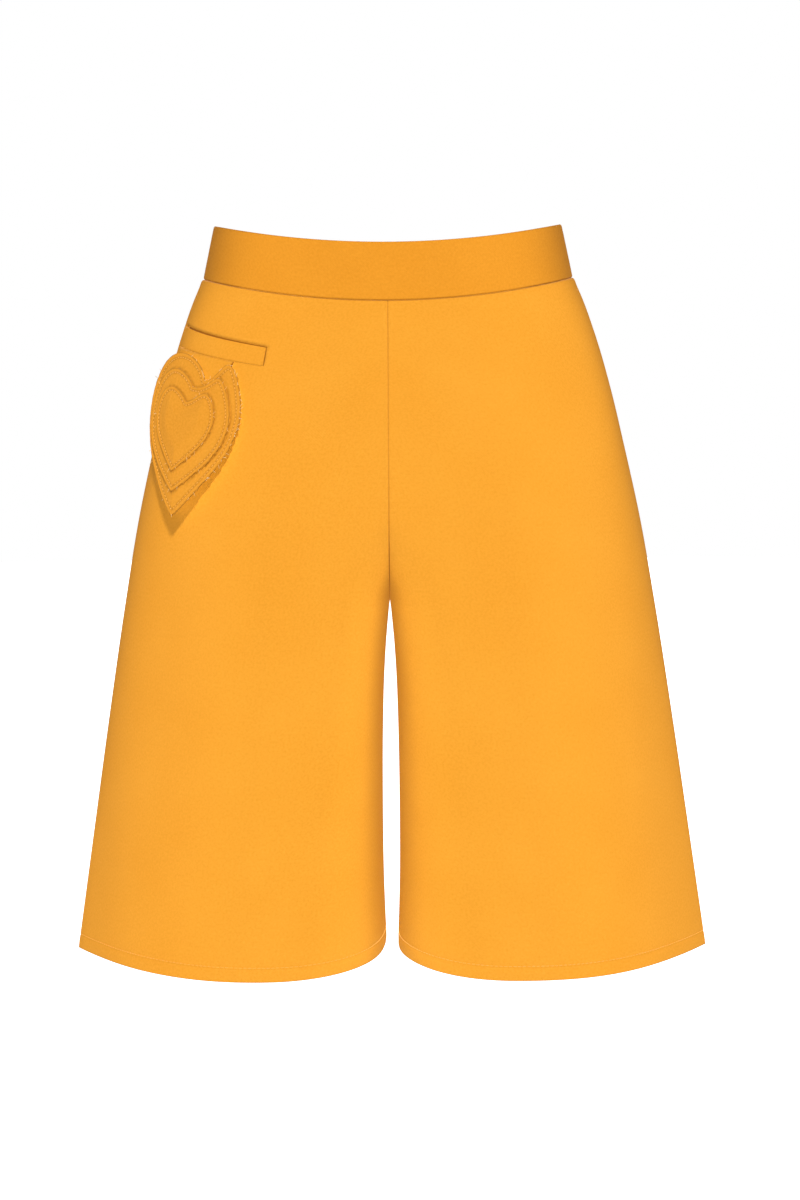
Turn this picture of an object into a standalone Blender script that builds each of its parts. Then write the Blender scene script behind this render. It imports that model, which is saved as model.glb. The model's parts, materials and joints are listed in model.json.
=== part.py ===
"""Wide-legged bermuda shorts, filled out as if worn, with a welt pocket and a hanging heart.

Metres, +Z up, +Y towards the seat, +X towards the wearer's left. The origin is the middle of
the waist, level with the waistband's top edge at the side seams. Cloth pieces are open
surfaces placed by formula, then thickened inwards, so each keeps its outer face.
"""

import math
from collections import namedtuple

import bmesh
import bpy
import numpy as np
from mathutils import Matrix, Vector

MM = 0.001
FRONT, BACK = -1, 1  # the sign of Y on that half of the garment
LEFT, RIGHT = 1, -1  # the wearer's sides, as the sign of X

# Cloth thicknesses, and the clearance between two pieces that are sewn together
CLOTH = 1.4 * MM
HEM_CLOTH = 2.8 * MM  # turned up twice
BAND_CLOTH = 2.4 * MM  # two layers with stiffening between them
SEAM_GAP = 0.3 * MM

# Waistband: level of its lower edge over the side seams, and how far each edge dips from the
# side seams to the centre of the front and of the back
BAND_DROP = 38.4 * MM
TOP_DIP = {FRONT: 13.0 * MM, BACK: 12.0 * MM}
SEAM_DIP = {FRONT: 15.3 * MM, BACK: 14.0 * MM}
BandSection = namedtuple("BandSection", "half_width front back")
BAND_TOP = BandSection(126.5 * MM, 95.0 * MM, 90.0 * MM)
BAND_FOOT = BandSection(134.7 * MM, 100.0 * MM, 97.0 * MM)

# Hem: level of the lowest edge, and the depth of the turning
HEM_LEVEL = 535.0 * MM
HEM_DEPTH = 12.0 * MM
HEM_STEP = 1.5 * MM
DIP_FADE_LEVEL = 160.0 * MM  # the dip of the waist seam has faded out of the panels here

# Legs, in millimetres: one row for each level below the waist. Flare turns the curve between
# the side seam and the front from an ellipse (0) into the straighter one of flared cloth (1).
# Ridge is how far from the centre the leg stands out furthest.
LegSection = namedtuple("LegSection", "level half_width front back flare ridge")
LEG_SECTIONS = (
    LegSection(38.4, 134.7, 100.0, 97.0, 0.00, 42.0),
    LegSection(54.0, 141.8, 103.0, 103.0, 0.00, 43.0),
    LegSection(80.0, 151.2, 106.5, 112.0, 0.03, 44.0),
    LegSection(120.0, 162.8, 110.0, 121.0, 0.10, 47.0),
    LegSection(160.0, 172.4, 112.5, 126.5, 0.20, 51.0),
    LegSection(215.0, 184.6, 115.0, 128.0, 0.36, 57.0),
    LegSection(275.0, 195.2, 116.5, 126.0, 0.54, 64.0),
    LegSection(365.0, 209.4, 118.0, 123.0, 0.78, 74.0),
    LegSection(450.0, 222.0, 119.2, 121.5, 0.93, 83.0),
    LegSection(535.0, 234.5, 120.0, 121.0, 1.00, 92.0),
)
FLARE_POWER = 2.3
SEAM_STRIP = 3.0 * MM  # the side seam is pressed flat on each side of its stitching

# The space between the legs: half its width at each level, in millimetres
LegSpace = namedtuple("LegSpace", "level half_gap")
LEG_SPACES = (
    LegSpace(274.0, 0.2),
    LegSpace(305.0, 3.0),
    LegSpace(335.0, 4.8),
    LegSpace(365.0, 5.7),
    LegSpace(425.0, 6.4),
    LegSpace(486.0, 6.1),
    LegSpace(535.0, 4.6),
)

# Fork: where the centre seams turn under, meet the inseams, and how full each curve is
FORK_LEVEL = 274.0 * MM
FORK_Y = 14.0 * MM
INSEAM_HEM_Y = 4.0 * MM
TURN_LEVEL = {FRONT: 200.0 * MM, BACK: 186.0 * MM}
TURN_FULLNESS = {FRONT: 2.3, BACK: 2.1}
TWO_LEGS_LEVEL = 120.0 * MM  # from here down to the turn, one oval becomes two legs
INNER_SQUARENESS = (2.6, 1.1)  # of the curve from ridge to inseam, at the turn and at the hem
HEM_RISE = 25.0 * MM  # the hem rises with that curve's squareness
RISE_LEVEL = 365.0 * MM  # from here down

# Grid of each leg panel: columns beside the seam strip, up to the ridge and on to the centre
OUTER_COLUMNS = 10
INNER_COLUMNS = 7
SEAM_COLUMN = 0.985  # one more, so near the centre seam that the cloth ends square to it
ROWS_TO_TURN = 7
ROWS_TO_FORK = 8
ROWS_TO_HEM = 6
BAND_COLUMNS = 15
BAND_ROWS = 2

# Welt pocket on the wearer's right hip: arc distances from the side seam, and levels
WELT_START_ARC = 18.0 * MM
WELT_END_ARC = 116.0 * MM
WELT_START_LEVEL = 72.0 * MM
WELT_END_LEVEL = 79.5 * MM
WELT_HEIGHT = 14.0 * MM
WELT_CLOTH = 1.6 * MM
MOUTH_HEIGHT = 1.6 * MM  # the slit above the welt
BAG_DEPTH = 118.0 * MM
BAG_CLOTH = 1.0 * MM
BAG_SPACE = 1.6 * MM  # between the bag's two layers
BAG_MARGIN = 5.0 * MM

# Hanging heart: three padded layers, the front ones smaller, on a tab sewn under the welt.
# Aside and drop place a layer's top from the back layer's. Notch shifts its notch, dent deepens
# it, and front and rear fill out its two lobes.
HEART_ARC = 57.0 * MM  # from the side seam
HEART_TOP_LEVEL = 92.0 * MM
HEART_LEAN = 0.24  # how far it shifts forwards, for each unit down
HEART_TILT = 0.09  # how far it drops, for each unit forwards
HEART_WAVES = (13.0, 0.0, -1.8, -0.8)  # cosine terms of the outline's height, with the dent's
ROUNDNESS = (2.2, 0.4, 0.5)  # power of the sine that gives the width: its mean, more at the notch
HEART_CENTRE = 0.42  # height that a layer's rings shrink to, from its top
HEART_SEGMENTS = 44
HEART_RINGS = 10
HEART_HANG = 10.5 * MM  # how far the tip stands off the leg
HEART_SPREAD = 3.2  # how far its rear edge stands off, for each metre behind the line, squared
SPREAD_LINE = 72.0 * MM
LAYER_GAP = 0.4 * MM
HeartLayer = namedtuple(
    "HeartLayer", "name width height aside drop notch dent front rear edge crown")
HEART_LAYERS = (
    HeartLayer("heart_base", 90 * MM, 114.5 * MM, 2.4 * MM, 0.0,
               0.11, 2.7, 2.05, 0.3, 1.6 * MM, 2.6 * MM),
    HeartLayer("heart_middle", 77 * MM, 86.5 * MM, 5.0 * MM, 12.0 * MM,
               0.02, 2.0, 2.3, 0.8, 1.2 * MM, 1.9 * MM),
    HeartLayer("heart_top", 57 * MM, 60 * MM, 6.7 * MM, 25.0 * MM,
               0.0, 3.0, 1.9, 1.0, 1.2 * MM, 2.6 * MM),
)
TAB_CLOTH = 1.2 * MM
TAB_ARC = 60.0 * MM
TAB_HALF_WIDTH = 34.0 * MM
TAB_FOOT_LEVEL = 122.0 * MM

# Concealed zip in the centre back
ZIP_FOOT_LEVEL = 180.0 * MM
ZIP_HALF_WIDTH = 12.0 * MM
ZIP_TAPE = 0.9 * MM
TAPE_BOW = 100.0 * MM  # radius of the tape's bow across its width
SLIDER_DROP = 7.5 * MM  # from the band's top edge to the pull's pin
SLIDER_BODY = 2.6 * MM
PLATE_THICKNESS = 0.4 * MM
NECK_HALF_WIDTH = 1.1 * MM
LUG_INNER = 1.8 * MM
LUG_OUTER = 2.9 * MM
PIN_RADIUS = 0.6 * MM
PIN_STANDOFF = 2.8 * MM
EYE_RADIUS = 1.7 * MM
EYE_HALF_WIDTH = 1.5 * MM
PULL_LENGTH = 23.0 * MM
PULL_THICKNESS = 1.1 * MM
PULL_TILT = math.radians(4.0)  # it leans on the band
TAIL_HALF_WIDTH = 3.0 * MM

SAFFRON = (0.86, 0.34, 0.030)
BAND_SAFFRON = (0.78, 0.28, 0.020)
HEART_SAFFRON = (0.90, 0.38, 0.045)
LACQUER = (0.80, 0.30, 0.025)


# ---------------------------------------------------------------------------- tables
def read_table(rows, level, column):
    """A smooth curve through one column of a table in millimetres, read at a level in metres."""
    levels = np.array([row.level for row in rows])
    values = np.array([getattr(row, column) for row in rows])
    slopes = np.gradient(values, levels)
    at = min(max(level / MM, levels[0]), levels[-1])
    i = min(int(np.searchsorted(levels, at, side="right")) - 1, len(rows) - 2)
    span = levels[i + 1] - levels[i]
    t = (at - levels[i]) / span
    return (
        (2 * t**3 - 3 * t**2 + 1) * values[i]
        + (t**3 - 2 * t**2 + t) * span * slopes[i]
        + (3 * t**2 - 2 * t**3) * values[i + 1]
        + (t**3 - t**2) * span * slopes[i + 1]
    )


def leg_depth(level, face):
    return read_table(LEG_SECTIONS, level, "front" if face == FRONT else "back") * MM


# ---------------------------------------------------------------------------- leg surface
def centre_seam_y(level, face):
    """Y of the centre seam, of its curve under the body, or of the inseam, at a level."""
    fork_y = FORK_Y + face * SEAM_GAP / 2
    if level >= FORK_LEVEL:
        fall = (level - FORK_LEVEL) / (HEM_LEVEL - FORK_LEVEL)
        return fork_y + (INSEAM_HEM_Y - FORK_Y) * fall
    turned = max(level - TURN_LEVEL[face], 0.0) / (FORK_LEVEL - TURN_LEVEL[face])
    power = TURN_FULLNESS[face]
    return fork_y + (face * leg_depth(level, face) - fork_y) * (1 - turned**power) ** (1 / power)


def bow(across, flare):
    """Height of the cloth between the front (across = 0) and the side seam (across = 1)."""
    across = np.clip(across, 0.0, 1.0)
    return (1 - flare) * np.sqrt(1 - across**2) + flare * (1 - across**FLARE_POWER)


def inner_power(level, face):
    """Power of the sine and cosine that draw the curve from the ridge to the inseam."""
    turn = TURN_LEVEL[face]
    lowered = max(level - turn, 0.0) / (HEM_LEVEL - turn)
    square, square_at_hem = INNER_SQUARENESS
    return 2 / (2 + square + (square_at_hem - square) * lowered)


def inner_edge(level):
    """X of a panel's edge at the centre seam or the inseam."""
    return read_table(LEG_SPACES, level, "half_gap") * MM if level > FORK_LEVEL else SEAM_GAP / 2


def leg_section(level, face, outer_angle, inner_share):
    """Outer face of a panel of the wearer's left leg at a level, as x, y, side seam to centre.

    outer_angle runs from 0 at the seam strip to a right angle at the ridge, and inner_share on
    from 0 there to 1 at the centre seam, which cuts the leg's inner curve off above the fork.
    """
    half_width, flare, ridge = (
        read_table(LEG_SECTIONS, level, column) for column in ("half_width", "flare", "ridge")
    )
    half_width, ridge = half_width * MM, ridge * MM
    depth = leg_depth(level, face)
    turn = TURN_LEVEL[face]
    start_y = SEAM_GAP / 2 + SEAM_STRIP
    inner_x = inner_edge(level)
    seam_y = face * centre_seam_y(level, face)
    inmost_y = min(seam_y, face * FORK_Y + SEAM_GAP / 2)
    power = inner_power(level, face)
    cut_off = min(max((seam_y - inmost_y) / (depth - inmost_y), 0.0), 1.0 - 1e-6)
    inner_angle = inner_share * math.acos(cut_off ** (1 / power))

    x = np.concatenate([
        ridge + (half_width - ridge) * np.cos(outer_angle),
        ridge - (ridge - inner_x) * (np.sin(inner_angle) / np.sin(inner_angle[-1])) ** power,
    ])
    as_leg = np.concatenate([
        start_y + (depth - start_y) * bow(np.cos(outer_angle), flare),
        inmost_y + (depth - inmost_y) * np.abs(np.cos(inner_angle)) ** power,
    ])
    as_oval = start_y + (depth - start_y) * bow(x / half_width, flare)
    part = min(max((level - TWO_LEGS_LEVEL) / (turn - TWO_LEGS_LEVEL), 0.0), 1.0)
    part = part * part * (3 - 2 * part)
    y = as_oval + (as_leg - as_oval) * part
    strip = np.array([[half_width, SEAM_GAP / 2]])
    return np.concatenate([strip, np.stack([x, y], axis=1)]) * (1, face)


FINE = (np.linspace(0, math.pi / 2, 24), np.linspace(0, 1, 16)[1:])
GRID = (
    np.linspace(0, math.pi / 2, OUTER_COLUMNS + 1),
    np.append(np.linspace(0, 1, INNER_COLUMNS + 1)[1:-1], (SEAM_COLUMN, 1)),
)


def sunk(x, level, face):
    """Height of a point of a leg panel: its level, the waist seam's dip and the hem's rise."""
    fade = min(max((level - BAND_DROP) / (DIP_FADE_LEVEL - BAND_DROP), 0.0), 1.0)
    across = x / (read_table(LEG_SECTIONS, level, "half_width") * MM)
    dip = SEAM_DIP[face] * (1 - fade) ** 2 * (1 + 2 * fade) * (1 - across * across)
    if level <= RISE_LEVEL:
        return -level - dip
    ridge, edge = read_table(LEG_SECTIONS, level, "ridge") * MM, inner_edge(level)
    inward = min(max((ridge - x) / (ridge - edge), 0.0), 1.0)
    square = 2 / inner_power(level, face)
    bulge = (1 - inward**square) ** (1 / square) - math.sqrt(1 - inward**2)
    grown = (level - RISE_LEVEL) / (HEM_LEVEL - RISE_LEVEL)
    return -level - dip + HEM_RISE * bulge * grown * grown * (3 - 2 * grown)


def leg_point(level, arc, face, side):
    """A point on a leg panel's outer face, at an arc distance from the side seam."""
    line = leg_section(level, face, *FINE)
    reached = np.concatenate([[0], np.cumsum(np.linalg.norm(np.diff(line, axis=0), axis=1))])
    x, y = (float(np.interp(arc, reached, line[:, k])) for k in (0, 1))
    return Vector((side * x, y, sunk(x, level, face)))


def on_leg(level, arc, face, side, out):
    """A point off a leg panel by a distance, outwards if positive."""
    step = 1.5 * MM
    across = leg_point(level, arc + step, face, side) - leg_point(level, arc - step, face, side)
    fall = leg_point(level + step, arc, face, side) - leg_point(level - step, arc, face, side)
    normal = (across.cross(fall) * (-side * face)).normalized()
    return leg_point(level, arc, face, side) + out * normal


def on_right_hip(arc, level, out):
    return on_leg(level, arc, FRONT, RIGHT, out)


# ---------------------------------------------------------------------------- waistband surface
def band_point(angle, height, face, side):
    """Outer face of the waistband: angle from side seam to centre, height from seam (0) to top (1)."""
    half_width, front, back = (
        foot + (top - foot) * height for foot, top in zip(BAND_FOOT, BAND_TOP)
    )
    depth = front if face == FRONT else back
    if angle < 0:
        across, y = 1.0, SEAM_GAP / 2
    else:
        across = math.cos(angle)
        start_y = SEAM_GAP / 2 + SEAM_STRIP
        y = start_y + (depth - start_y) * math.sin(angle)
    x = max(half_width * across, SEAM_GAP / 2)
    dip = 1 - across * across
    foot_z = -BAND_DROP - SEAM_DIP[face] * dip + SEAM_GAP
    top_z = -TOP_DIP[face] * dip
    return Vector((side * x, face * y, foot_z + (top_z - foot_z) * height))


# ---------------------------------------------------------------------------- scene helpers
def clear_scene():
    for obj in list(bpy.data.objects):
        bpy.data.objects.remove(obj, do_unlink=True)


def new_collection(name):
    collection = bpy.data.collections.new(name)
    bpy.context.scene.collection.children.link(collection)
    return collection


def new_material(name, colour, roughness, metallic=0.0):
    material = bpy.data.materials.new(name)
    material.use_nodes = True
    shader = material.node_tree.nodes["Principled BSDF"]
    shader.inputs["Base Color"].default_value = (*colour, 1.0)
    shader.inputs["Roughness"].default_value = roughness
    shader.inputs["Metallic"].default_value = metallic
    return material


def new_object(name, bm, collection, material):
    mesh = bpy.data.meshes.new(name)
    bm.to_mesh(mesh)
    bm.free()
    if material:
        mesh.materials.append(material)
    obj = bpy.data.objects.new(name, mesh)
    collection.objects.link(obj)
    return obj


def new_cutter(name, bm, collection):
    cutter = new_object(name, bm, collection, None)
    cutter.hide_render = True
    cutter.display_type = "WIRE"
    return cutter


def cut(obj, cutter):
    modifier = obj.modifiers.new("cut " + cutter.name, "BOOLEAN")
    modifier.operation = "DIFFERENCE"
    modifier.object = cutter


def cloth(name, columns, rows, place, thickness, outside, collection, material):
    """A cloth sheet: a grid moved by place(column share, row share), thickened on its inside.

    outside gives a direction that the outer face of the sheet's first corner points to, roughly.
    """
    bm = bmesh.new()
    bmesh.ops.create_grid(bm, x_segments=columns, y_segments=rows, size=0.5)
    for vert in bm.verts:
        vert.co = place(vert.co.x + 0.5, vert.co.y + 0.5)
    bm.normal_update()
    bm.faces.ensure_lookup_table()
    first = bm.faces[0]
    if first.normal.dot(outside(first.calc_center_median())) < 0:
        bmesh.ops.reverse_faces(bm, faces=bm.faces)
    obj = new_object(name, bm, collection, material)
    obj.data.shade_smooth()
    obj.data.set_sharp_from_angle(angle=math.radians(40))
    shell = obj.modifiers.new("thickness", "SOLIDIFY")
    shell.thickness = thickness
    shell.offset = -1
    return obj


def away_from_axis():
    """For cloth(): outwards means away from the Z axis."""
    return lambda point: Vector((point.x, point.y, 0))


# ---------------------------------------------------------------------------- pieces
def panel_levels(face, inward):
    """Row levels of a leg panel. Inward is 1 at the centre seam, where they follow its turn."""
    turn = TURN_LEVEL[face]
    top = np.linspace(BAND_DROP, turn, ROWS_TO_TURN + 1)
    step = np.linspace(0, 1, ROWS_TO_FORK + 1)[1:]
    curve = turn + (FORK_LEVEL - turn) * (step + (np.sin(math.pi / 2 * step) - step) * inward)
    hem_top = HEM_LEVEL - HEM_DEPTH
    lower = np.linspace(FORK_LEVEL, hem_top - HEM_STEP, ROWS_TO_HEM + 1)[1:]
    return np.concatenate([top, curve, lower, [hem_top, HEM_LEVEL]])


def make_leg_panel(name, face, side, collection, material):
    inward = np.concatenate([np.zeros(2 + OUTER_COLUMNS), GRID[1] ** 2])
    columns = len(inward) - 1
    rows = len(panel_levels(face, 0)) - 1

    def place(column, row):
        column = round(column * columns)
        level = float(panel_levels(face, inward[column])[round(row * rows)])
        x, y = (float(value) for value in leg_section(level, face, *GRID)[column])
        return Vector((side * x, y, sunk(x, level, face)))

    panel = cloth(name, columns, rows, place, HEM_CLOTH, away_from_axis(), collection, material)
    hem = panel.vertex_groups.new(name="hem")
    hem.add(range((rows - 1) * (columns + 1), (rows + 1) * (columns + 1)), 1.0, "REPLACE")
    shell = panel.modifiers["thickness"]
    shell.vertex_group = hem.name
    shell.thickness_vertex_group = CLOTH / HEM_CLOTH
    return panel


def band_angle(column, columns):
    """Angle of a band's column, counted from the side seam, whose strip is the first."""
    return math.pi / 2 * (column - 1) / (columns - 1) if column else -1


def make_front_band(collection, material):
    def place(column, row):
        column = round(column * 2 * BAND_COLUMNS) - BAND_COLUMNS
        side = LEFT if column > 0 else RIGHT
        point = band_point(band_angle(BAND_COLUMNS - abs(column), BAND_COLUMNS), row, FRONT, side)
        if column == 0:
            point.x = 0
        return point

    return cloth("waistband_front", 2 * BAND_COLUMNS, BAND_ROWS, place, BAND_CLOTH,
                 away_from_axis(), collection, material)


def make_back_band(name, side, collection, material):
    def place(column, row):
        angle = band_angle(round(column * BAND_COLUMNS), BAND_COLUMNS)
        return band_point(angle, row, BACK, side)

    return cloth(name, BAND_COLUMNS, BAND_ROWS, place, BAND_CLOTH, away_from_axis(),
                 collection, material)


def welt_line(share):
    """Arc and level of the welt's top edge, from the side seam (0) to its front end (1)."""
    arc = WELT_START_ARC + (WELT_END_ARC - WELT_START_ARC) * share
    level = WELT_START_LEVEL + (WELT_END_LEVEL - WELT_START_LEVEL) * share
    return arc, level


def make_welt(collection, material):
    def place(column, row):
        arc, level = welt_line(column)
        return on_right_hip(arc, level + WELT_HEIGHT * row, SEAM_GAP * 1.3 + WELT_CLOTH)

    return cloth("pocket_welt", 20, 3, place, WELT_CLOTH, away_from_axis(), collection, material)


def make_mouth_cutter(collection):
    """The slit above the welt, as a strip that reaches through the panel."""
    inset = 0.03

    def place(column, row):
        arc, level = welt_line(inset + (1 - 2 * inset) * column)
        return on_right_hip(arc, level - MOUTH_HEIGHT * row, 1 * MM)

    strip = cloth("pocket_mouth", 20, 1, place, 1 * MM + 2 * CLOTH, away_from_axis(),
                  collection, None)
    strip.hide_render = True
    strip.display_type = "WIRE"
    return strip


def make_bag(collection, material):
    """Pocket bag: one sheet that hangs inside the hip, folds at its foot and comes back up."""
    front_layer = -(CLOTH + SEAM_GAP * 1.5 + BAG_CLOTH)
    back_layer = front_layer - BAG_SPACE - BAG_CLOTH
    middle = (front_layer + back_layer) / 2
    down_rows, fold_rows = 7, 4
    rows = 2 * down_rows + fold_rows

    def place(column, row):
        arc, mouth = welt_line(column)
        arc += BAG_MARGIN * column
        rounding = BAG_DEPTH * 0.12 * (2 * column - 1) ** 4
        top, foot = mouth + 1 * MM, mouth + BAG_DEPTH - rounding
        step = round(row * rows)
        if step <= down_rows:
            return on_right_hip(arc, top + (foot - top) * step / down_rows, front_layer)
        if step < down_rows + fold_rows:
            turn = math.pi * (step - down_rows) / fold_rows
            out = middle + (front_layer - middle) * math.cos(turn)
            return on_right_hip(arc, foot + (front_layer - middle) * math.sin(turn), out)
        back = (rows - step) / down_rows
        top -= 8 * MM
        return on_right_hip(arc, top + (foot - top) * back, back_layer)

    return cloth("pocket_bag", 12, rows, place, BAG_CLOTH, away_from_axis(), collection, material)


# ---------------------------------------------------------------------------- heart
def heart_height(angle, dent):
    waves = sum(wave * np.cos((k + 1) * angle) for k, wave in enumerate(HEART_WAVES))
    return waves - dent * np.cos(2 * angle)


def heart_outline(angle, layer):
    """Outline of a layer: x across and y down from its top, at an angle from the notch."""
    top = heart_height(np.linspace(0, math.pi / 2, 90), layer.dent).max()
    tip = heart_height(math.pi, layer.dent)
    y = float((top - heart_height(angle, layer.dent)) / (top - tip)) * layer.height
    sine, upper = math.sin(angle), max(math.cos(angle), 0)
    power = ROUNDNESS[0] + ROUNDNESS[1] * math.cos(angle) + ROUNDNESS[2] * upper**2
    power -= (layer.front if sine > 0 else layer.rear) * upper
    wide = abs(sine) ** power
    x = math.copysign(wide, sine) / 2
    if upper > 0:
        x += layer.notch * (1 - wide)
    return x * layer.width, y


def heart_place(x, y, layer, out):
    """A point of a layer on the hip, where the heart hangs free below its top."""
    arc = HEART_ARC + layer.aside + x + HEART_LEAN * y
    drop = layer.drop + y + HEART_TILT * x
    stand = 3 * SEAM_GAP + TAB_CLOTH
    stand += HEART_HANG * max(drop / HEART_LAYERS[0].height, 0) ** 1.6
    stand += HEART_SPREAD * max(SPREAD_LINE - arc, 0) ** 2
    return on_right_hip(arc, HEART_TOP_LEVEL + drop, stand + out)


def make_heart_layer(index, collection, material):
    """One padded heart: a sphere flattened into the outline, lying on the layer behind it."""
    layer = HEART_LAYERS[index]
    back = sum(behind.crown + LAYER_GAP for behind in HEART_LAYERS[:index])
    bm = bmesh.new()
    bmesh.ops.create_uvsphere(bm, u_segments=HEART_SEGMENTS, v_segments=HEART_RINGS, radius=1.0)
    middle = HEART_CENTRE * layer.height
    for vert in bm.verts:
        x, y = heart_outline(math.atan2(vert.co.x, vert.co.y), layer)
        tilt = math.atan2(abs(vert.co.z), math.hypot(vert.co.x, vert.co.y)) / (math.pi / 2)
        reach = 1 - tilt**1.5
        thick = layer.edge + (layer.crown - layer.edge) * math.sqrt(1 - reach**8)
        if abs(vert.co.z) < 1e-6:
            out = back + thick / 2
        else:
            out = back + thick if vert.co.z > 0 else back
        vert.co = heart_place(x * reach, middle + (y - middle) * reach, layer, out)
    if bm.calc_volume(signed=True) < 0:
        bmesh.ops.reverse_faces(bm, faces=bm.faces)
    heart = new_object(layer.name, bm, collection, material)
    heart.data.shade_smooth()
    return heart


def make_heart_tab(collection, material):
    """Tab that carries the heart, from under the welt to behind the heart's notch."""
    def place(column, row):
        arc = TAB_ARC + TAB_HALF_WIDTH * (2 * column - 1)
        share = (arc - WELT_START_ARC) / (WELT_END_ARC - WELT_START_ARC)
        top = welt_line(share)[1] + WELT_HEIGHT + SEAM_GAP * 2
        return on_right_hip(arc, top + (TAB_FOOT_LEVEL - top) * row, SEAM_GAP + TAB_CLOTH)

    return cloth("heart_tab", 12, 4, place, TAB_CLOTH, away_from_axis(), collection, material)


# ---------------------------------------------------------------------------- zip
def zip_level(z):
    """The level of the back panels whose centre back lies at a height."""
    levels = np.linspace(BAND_DROP, TURN_LEVEL[BACK], 80)
    drops = [-sunk(0, float(level), BACK) for level in levels]
    return float(np.interp(-z, drops, levels))


def make_zip_tape(collection, material):
    """Tape of the concealed zip, inside the centre back from the band's top to below the hips."""
    top = -TOP_DIP[BACK] - 4 * MM
    seam = -BAND_DROP - SEAM_DIP[BACK]
    heights = np.concatenate([
        np.linspace(top, seam, 4),
        np.linspace(seam - 3 * MM, -ZIP_FOOT_LEVEL, 8),
    ])
    last = len(heights) - 1

    def place(column, row):
        z = float(heights[round(row * last)])
        x = ZIP_HALF_WIDTH * (2 * column - 1)
        if z >= seam:
            above_seam = (z - seam) / (-TOP_DIP[BACK] - seam)
            inner = band_point(math.pi / 2, above_seam, BACK, LEFT).y - BAND_CLOTH - 2 * SEAM_GAP
        else:
            inner = leg_depth(zip_level(z), BACK) - CLOTH - 2.5 * SEAM_GAP
        return Vector((x, inner - x * x / (2 * TAPE_BOW), z))

    return cloth("zip_tape", 4, last, place, ZIP_TAPE, lambda point: Vector((0, 1, 0)),
                 collection, material)


def slider_frame(standoff, tilt=0.0):
    """The slider's axes: x across, y off the band's face, z up the band, turned about x."""
    top, foot = (band_point(math.pi / 2, height, BACK, LEFT) for height in (1, 0))
    up = (top - foot).normalized()
    up.x = 0
    out = Vector((0, up.z, -up.y))
    middle = Vector((0, top.y, top.z)) - up * SLIDER_DROP + out * standoff
    turn = Matrix((Vector((1, 0, 0)), out, up)).transposed().to_4x4()
    return Matrix.Translation(middle) @ turn @ Matrix.Rotation(tilt, 4, "X")


def box(low, high):
    bm = bmesh.new()
    bmesh.ops.create_cube(bm, size=1.0)
    low, high = Vector(low), Vector(high)
    bmesh.ops.scale(bm, vec=high - low, verts=bm.verts)
    bmesh.ops.translate(bm, vec=(low + high) / 2, verts=bm.verts)
    return bm


def rod_across(radius, length, segments):
    """A cylinder along x, centred on the pin."""
    bm = bmesh.new()
    bmesh.ops.create_cone(bm, cap_ends=True, segments=segments, radius1=radius, radius2=radius,
                          depth=length)
    bmesh.ops.rotate(bm, verts=bm.verts, matrix=Matrix.Rotation(math.pi / 2, 3, "Y"))
    return bm


def make_slider(collection, cutters, material, slotted):
    """Slider: a body behind the tape, a neck out through the slot, and two lugs with a pin."""
    tape_inside = -(BAND_CLOTH + 2 * SEAM_GAP + ZIP_TAPE + SEAM_GAP)
    frame = slider_frame(0)
    body = new_object("zip_slider", box((-4.0 * MM, tape_inside - SLIDER_BODY, -4.0 * MM),
                                        (4.0 * MM, tape_inside, 4.0 * MM)), collection, material)
    body.matrix_world = frame
    plate = (SEAM_GAP, SEAM_GAP + PLATE_THICKNESS)
    lug_end = PIN_STANDOFF + PIN_RADIUS + 0.4 * MM
    pieces = {
        "neck": box((-NECK_HALF_WIDTH, tape_inside - 1 * MM, -2.2 * MM),
                    (NECK_HALF_WIDTH, plate[1] - 0.1 * MM, 2.2 * MM)),
        "plate": box((-LUG_OUTER, plate[0], -3.2 * MM), (LUG_OUTER, plate[1], 3.2 * MM)),
        "lug_left": box((LUG_INNER, plate[0], -1.2 * MM), (LUG_OUTER - 0.05 * MM, lug_end, 1.2 * MM)),
        "lug_right": box((0.05 * MM - LUG_OUTER, plate[0], -1.2 * MM), (-LUG_INNER, lug_end, 1.2 * MM)),
        "pin": rod_across(PIN_RADIUS, 2 * LUG_OUTER - 0.4 * MM, 16),
    }
    for name, bm in pieces.items():
        piece = new_cutter("slider_" + name, bm, cutters)
        piece.matrix_world = slider_frame(PIN_STANDOFF) if name == "pin" else frame
        join = body.modifiers.new(name, "BOOLEAN")
        join.operation = "UNION"
        join.object = piece
    slot = new_cutter("slider_slot", box((-1.5 * MM, -8 * MM, -2.7 * MM), (1.5 * MM, 3 * MM, 2.7 * MM)),
                      cutters)
    slot.matrix_world = frame
    for obj in slotted:
        cut(obj, slot)


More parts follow.
